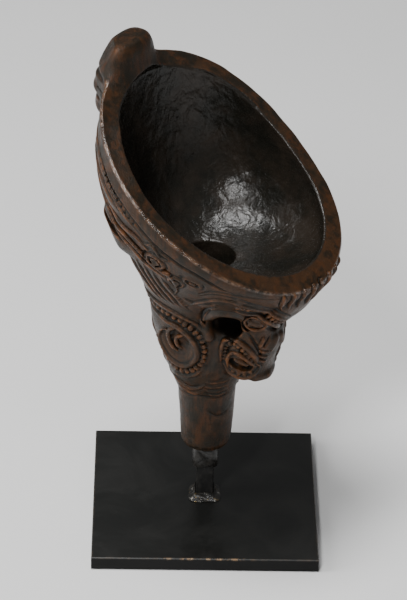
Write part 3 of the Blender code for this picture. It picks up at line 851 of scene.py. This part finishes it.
def wood_look():
    """Dark oiled wood: browner to the lip, blacker in the bowl, worn bright on raised edges.
    Painted shade darkens the hollows, the high end under the knob and the hole behind the face; the tan
    line on the mouth's outer edge is partly wear and partly a painted highlight.
    """
    look = Look("carved_wood_aged")
    inside = look.attribute("inside")
    fine, broad = look.attribute("fine"), look.attribute("broad")
    grain = look.noise(0.9, 6.0, 0.62, 0.6, stretch=(1, 1, 0.09), turn=0.4)
    streak = look.noise(0.32, 5.0, 0.65, 0.8, stretch=(1, 1, 0.16), turn=0.9)
    blotch = look.noise(0.045, 5.0, 0.6, 0.8)
    patch = look.noise(0.16, 4.0, 0.6)
    dark, brown = (0.0112, 0.0092, 0.006), (0.033, 0.0185, 0.0088)
    base = look.mix(look.reach(grain, 0.34, 0.7), dark, brown)
    x, y, _ = look.axes()
    u = look.plus(look.times(x, math.cos(FACING)), look.times(y, math.sin(FACING)))
    base = look.mix(look.reach(u, 5.0, 52.0, 0.0, 0.45), base, (0.06, 0.025, 0.0085))
    # Painted shade: darker towards the high end under the knob, for the shade on that side.
    base = look.mix(look.reach(u, -5.0, -40.0, 0.0, 0.5), base, (0.0085, 0.007, 0.0046))
    base = look.mix(look.reach(streak, 0.47, 0.62, 0.0, 0.62), base, (0.064, 0.023, 0.0075))
    base = look.mix(look.reach(blotch, 0.44, 0.66, 0.0, 0.5), base, (0.056, 0.024, 0.0085))
    base = look.mix(look.reach(patch, 0.47, 0.62, 0.0, 0.72), base, (0.009, 0.0084, 0.0052))
    raised = look.plus(look.reach(fine, 0.03, 0.26), look.reach(broad, 0.2, 1.1))
    scatter = look.reach(look.noise(0.28, 6.0, 0.72), 0.44, 0.62)
    worn = look.times(raised, look.plus(0.12, look.times(scatter, 0.88)))
    base = look.mix(look.times(worn, 0.6), base, (0.15, 0.056, 0.018))
    # Painted shade: grooves and broad hollows are darkened nearly to black, for the shade that falls in
    # them.
    painted_hollow_shade = look.plus(look.reach(fine, -0.01, -0.16), look.reach(broad, -0.1, -0.8))
    base = look.mix(look.times(painted_hollow_shade, 0.8), base, (0.005, 0.0046, 0.0031))
    # Painted shade: the inside of the hole behind the face is painted nearly black.
    base = look.mix(look.times(look.attribute("pierced"), 0.85), base, (0.0036, 0.0032, 0.0024))
    bowl_patch = look.reach(look.noise(0.06, 5.0, 0.62), 0.35, 0.7)
    bowl = look.mix(bowl_patch, (0.0095, 0.009, 0.007), (0.022, 0.0165, 0.012))
    colour = look.mix(look.reach(inside, 0.35, 0.9), base, bowl)
    # The tan along the mouth's outer edge is partly worn wood and partly a painted highlight line.
    arris = look.attribute("arris")
    colour = look.mix(look.times(arris, scatter), colour, (0.12, 0.066, 0.036))
    gloss = look.reach(look.noise(0.22, 5.0, 0.6), 0.3, 0.75, 0.3, 0.5)
    rubbed = look.times(arris, look.reach(scatter, 0.1, 0.5, 0.6, 1.0))
    gloss = look.math("SUBTRACT", gloss, look.times(look.reach(fine, 0.08, 0.3), 0.1))
    gloss = look.math("MAXIMUM", look.math("SUBTRACT", gloss, look.times(rubbed, 0.3)), 0.1)
    polish = look.reach(look.noise(0.5, 6.0, 0.75), 0.35, 0.7, 0.19, 0.33)
    roughness = look.node("ShaderNodeMix", data_type="FLOAT")
    look.put(roughness.inputs[0], look.reach(inside, 0.35, 0.9))
    look.put(roughness.inputs[2], gloss)
    look.put(roughness.inputs[3], polish)
    pores = look.noise(3.2, 3.0, 0.6, stretch=(1, 1, 0.06), turn=0.4)
    nicks = look.noise(1.3, 5.0, 0.65)
    normal = look.bump(pores, look.reach(inside, 0.35, 0.9, 0.45, 0.12), 0.25)
    normal = look.bump(nicks, look.reach(inside, 0.35, 0.9, 0.6, 0.2), 0.45, normal)
    dents = look.noise(0.17, 3.0, 0.55, 0.5, stretch=(1, 1, 0.7))
    normal = look.bump(dents, look.times(inside, 0.45), 1.8, normal)
    sheen = look.plus(look.reach(inside, 0.35, 0.9, 0.22, 0.36), look.times(rubbed, 0.78))
    return look.finish(colour, roughness.outputs[0], normal, specular=sheen)


def plate_look():
    look = Look("black_painted_steel")
    half, top = 50.8, 6.35
    x, y, z = look.axes()
    off_middle = look.math("ABSOLUTE", x)
    out = look.math("MAXIMUM", off_middle, look.math("ABSOLUTE", y))
    edge = look.times(look.reach(out, half - 1.1, half - 0.15), look.reach(z, top - 1.2, top - 0.1))
    cloud = look.noise(0.035, 5.0, 0.6, 1.0)
    speck = look.noise(2.2, 3.0, 0.6)
    brush = look.noise(1.6, 3.0, 0.5, stretch=(0.04, 1, 1))
    base = look.mix(look.reach(cloud, 0.35, 0.7), (0.0085, 0.0088, 0.008), (0.014, 0.014, 0.0128))
    base = look.mix(look.reach(speck, 0.6, 0.78, 0.0, 0.35), base, (0.035, 0.034, 0.031))
    chips = look.times(edge, look.reach(look.noise(0.32, 6.0, 0.75, stretch=(1, 1, 0.6)), 0.46, 0.6))
    front = look.times(look.reach(y, -49.0, -50.6), look.reach(off_middle, 24.0, 15.0))
    chips = look.times(chips, look.plus(0.12, look.times(front, 0.88)))
    metal = look.mix(look.reach(speck, 0.4, 0.6), (0.2, 0.105, 0.05), (0.34, 0.25, 0.16))
    # Painted shade: the plate's upright sides are painted nearly black; side also makes them rougher and
    # less shiny.
    side = look.reach(z, 6.2, 5.6)
    base = look.mix(side, base, (0.0022, 0.0022, 0.002))
    colour = look.mix(chips, base, metal)
    roughness = look.plus(look.reach(cloud, 0.3, 0.75, 0.3, 0.44), look.times(side, 0.12))
    normal = look.bump(look.noise(1.1, 4.0, 0.6), 0.12, 0.15)
    normal = look.bump(brush, 0.08, 0.12, normal)
    normal = look.bump(chips, -0.5, 0.12, normal)
    return look.finish(colour, roughness, normal,
                       look.times(chips, 0.75),
                       specular=look.math("SUBTRACT", 0.5, look.times(side, 0.3)))


def post_look():
    look = Look("black_painted_bar")
    cloud = look.noise(0.5, 5.0, 0.65, stretch=(1, 1, 0.4))
    base = look.mix(look.reach(cloud, 0.4, 0.7), (0.01, 0.01, 0.0095), (0.021, 0.02, 0.018))
    rub = look.reach(look.noise(0.55, 5.0, 0.7), 0.6, 0.74)
    foot = look.reach(look.axes()[2], 14.0, 9.0)
    bare = look.times(rub, look.plus(0.15, look.times(foot, 0.85)))
    colour = look.mix(bare, base, (0.3, 0.27, 0.22))
    normal = look.bump(look.noise(1.4, 4.0, 0.6), 0.25, 0.2)
    return look.finish(colour, look.reach(cloud, 0.3, 0.7, 0.28, 0.46), normal,
                       look.times(bare, 0.85))


def braze_look():
    look = Look("painted_braze_fillet")
    patch = look.noise(0.42, 5.0, 0.68, 0.5)
    base = look.mix(look.reach(patch, 0.42, 0.62), (0.013, 0.0125, 0.0115), (0.03, 0.027, 0.022))
    brass = look.reach(look.noise(0.62, 4.0, 0.6), 0.6, 0.68)
    silver = look.reach(look.noise(0.45, 4.0, 0.6, turn=1.1), 0.6, 0.67)
    colour = look.mix(brass, base, (0.4, 0.27, 0.1))
    colour = look.mix(silver, colour, (0.46, 0.44, 0.4))
    bare = look.math("MAXIMUM", brass, silver)
    normal = look.bump(look.noise(0.9, 5.0, 0.65), 0.6, 0.5)
    return look.finish(colour, look.reach(patch, 0.3, 0.7, 0.24, 0.44), normal,
                       look.times(bare, 0.9))


def wax_look():
    look = Look("black_wax")
    patch = look.noise(0.35, 5.0, 0.6, 0.6)
    colour = look.mix(look.reach(patch, 0.35, 0.7), (0.0085, 0.008, 0.0072), (0.02, 0.0175, 0.0145))
    normal = look.bump(look.noise(0.55, 4.0, 0.55), 0.45, 0.6)
    normal = look.bump(look.noise(2.4, 3.0, 0.6), 0.2, 0.2, normal)
    return look.finish(colour, look.reach(patch, 0.3, 0.75, 0.24, 0.44), normal)


def steel_look():
    look = Look("bare_steel_rod")
    drawn = look.noise(4.5, 3.0, 0.55, stretch=(1, 1, 0.03))
    tarnish = look.noise(0.3, 5.0, 0.65)
    colour = look.mix(look.reach(tarnish, 0.4, 0.7), (0.46, 0.45, 0.43), (0.27, 0.25, 0.23))
    normal = look.bump(drawn, 0.2, 0.1)
    return look.finish(colour, look.reach(tarnish, 0.3, 0.7, 0.24, 0.42), normal, 1.0)


def sleeve_look():
    look = Look("clear_heatshrink_sleeve")
    cloud = look.noise(0.35, 5.0, 0.6, stretch=(1, 1, 0.3))
    colour = look.mix(look.reach(cloud, 0.35, 0.7), (0.56, 0.54, 0.47), (0.66, 0.64, 0.58))
    normal = look.bump(look.noise(0.8, 4.0, 0.6, stretch=(1, 1, 0.25)), 0.3, 0.3)
    return look.finish(colour, look.reach(cloud, 0.3, 0.7, 0.28, 0.42), normal)


def floor_look():
    look = Look("pale_paper")
    soft = look.noise(0.004, 4.0, 0.5)
    fibre = look.noise(1.5, 3.0, 0.6)
    colour = look.mix(look.reach(soft, 0.3, 0.7), (0.865, 0.865, 0.86), (0.89, 0.89, 0.885))
    return look.finish(colour, 0.85, look.bump(fibre, 0.05, 0.05))


# ---- the stand ----

# waves round a lump: how many, how strong and where they start
LUMP_WAVES = [(2, 0.5, 0.7), (3, 1.0, 2.1), (5, 0.7, 4.0), (7, 0.45, 1.3), (11, 0.25, 5.2)]


def dress(node, look):
    """A CAD node that stays as it is and gets its finish here."""
    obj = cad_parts[node]
    obj.data.materials.clear()
    obj.data.materials.append(look)
    return obj


def lump(name, node, half_at, sides, levels, unevenness, look):
    """A poured or melted ring round the square post, uneven all over; it stands for a CAD node."""
    low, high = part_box(node)
    low_z, high_z = low.z / MM, high.z / MM
    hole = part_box("mount_post")[1].x / MM + 0.3
    theta = np.arange(sides) * math.tau / sides
    square = 1 / np.maximum(np.abs(np.cos(theta)), np.abs(np.sin(theta)))
    corner = (np.abs(np.cos(theta)) ** 5 + np.abs(np.sin(theta)) ** 5) ** (-1 / 5)
    rows = [circle(theta, hole * square, low_z)]
    for i in range(levels + 1):
        t = i / levels
        uneven = np.zeros(sides)
        for n, size, phase in LUMP_WAVES:
            uneven += size * np.sin(n * theta + phase + 3.1 * t * (1 + 0.3 * n))
        out = np.maximum(half_at(t) * corner * (1 + unevenness * uneven), hole * square + 0.25)
        rows.append(circle(theta, out, low_z + (high_z - low_z) * t))
    rows.append(circle(theta, hole * square, high_z))
    points = (np.concatenate(rows) * MM).tolist()
    faces = []
    for r in range(len(rows)):
        for i in range(sides):
            j = (i + 1) % sides
            here, above = r * sides, (r + 1) % len(rows) * sides
            faces.append((here + i, here + j, above + j, above + i))
    mesh = bpy.data.meshes.new(name)
    mesh.from_pydata(points, [], faces)
    mesh.shade_smooth()
    mesh.set_sharp_from_angle(angle=math.radians(50))
    mesh.materials.append(look)
    obj = added(name, mesh)
    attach(obj, "stand")
    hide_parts(node)


def build_stand():
    plate = dress("base_plate", plate_look())
    dress("mount_post", post_look())
    dress("support_pin", steel_look())
    dress("pin_sleeve", sleeve_look())
    soft_edge = plate.modifiers.new("worn arris", "BEVEL")
    soft_edge.width = 0.00012
    soft_edge.segments = 2
    lump("wax_collar_poured", "wax_collar",
         lambda t: 4.95 + 0.75 * math.sin(math.pi * min(1, 0.15 + 1.0 * t)) ** 0.6 + 0.25 * t,
         64, 22, 0.028, wax_look())
    lump("foot_braze_fillet", "foot_braze", lambda t: 4.6 + 2.6 * (1 - t) ** 2.2, 64, 10, 0.03,
         braze_look())


# ---- floor, light and camera ----

LIT_POINT = (0, 0, 0.1)


def build_stage():
    """A pale floor just under the plate."""
    mesh = bpy.data.meshes.new("floor")
    half, drop = 6.0, 0.0002
    corners = [(-1, -1), (1, -1), (1, 1), (-1, 1)]
    mesh.from_pydata([(half * x, half * y, -drop) for x, y in corners], [], [(0, 1, 2, 3)])
    mesh.materials.append(floor_look())
    floor = added("floor", mesh)


def area_light(name, place, wide, high, power):
    """A rectangular softbox that faces the funnel."""
    light = bpy.data.lights.new(name, "AREA")
    light.shape = "RECTANGLE"
    light.size, light.size_y = wide, high
    light.energy = power
    obj = added(name, light)
    obj.location = place
    obj.rotation_euler = (Vector(LIT_POINT) - Vector(place)).to_track_quat("-Z", "Y").to_euler()


def build_light():
    """A dim room, a softbox at the left and one above, and a narrow strip in front."""
    world = bpy.data.worlds.new("room")
    world.use_nodes = True
    background = world.node_tree.nodes["Background"]
    background.inputs["Color"].default_value = (0.98, 0.99, 1.0, 1)
    background.inputs["Strength"].default_value = 0.17
    bpy.context.scene.world = world
    area_light("left softbox", (-1.15, -0.22, 0.64), 0.5, 0.9, 8.5)
    area_light("overhead softbox", (-0.28, -0.1, 1.66), 0.5, 0.5, 20.3)
    area_light("front strip", (-0.36, -1.02, 1.14), 0.1, 0.42, 11)


def build_camera():
    """The photograph's view: from the front, a little left, looking 32 degrees down."""
    camera = bpy.data.cameras.new("camera")
    camera.sensor_fit = "VERTICAL"
    camera.sensor_height = 24.0
    camera.lens = 130.1
    obj = added("camera", camera)
    yaw, pitch, roll = math.radians(1.06), math.radians(31.66), math.radians(1.36)
    turn = (Matrix.Rotation(-yaw, 4, "Z") @ Matrix.Rotation(math.radians(90) - pitch, 4, "X")
            @ Matrix.Rotation(roll, 4, "Z"))
    obj.matrix_world = Matrix.Translation((-0.0251, -1.2235, 0.8652)) @ turn
    bpy.context.scene.camera = obj


build_stand()
build_funnel(wood_look())
build_stage()
build_light()
build_camera()
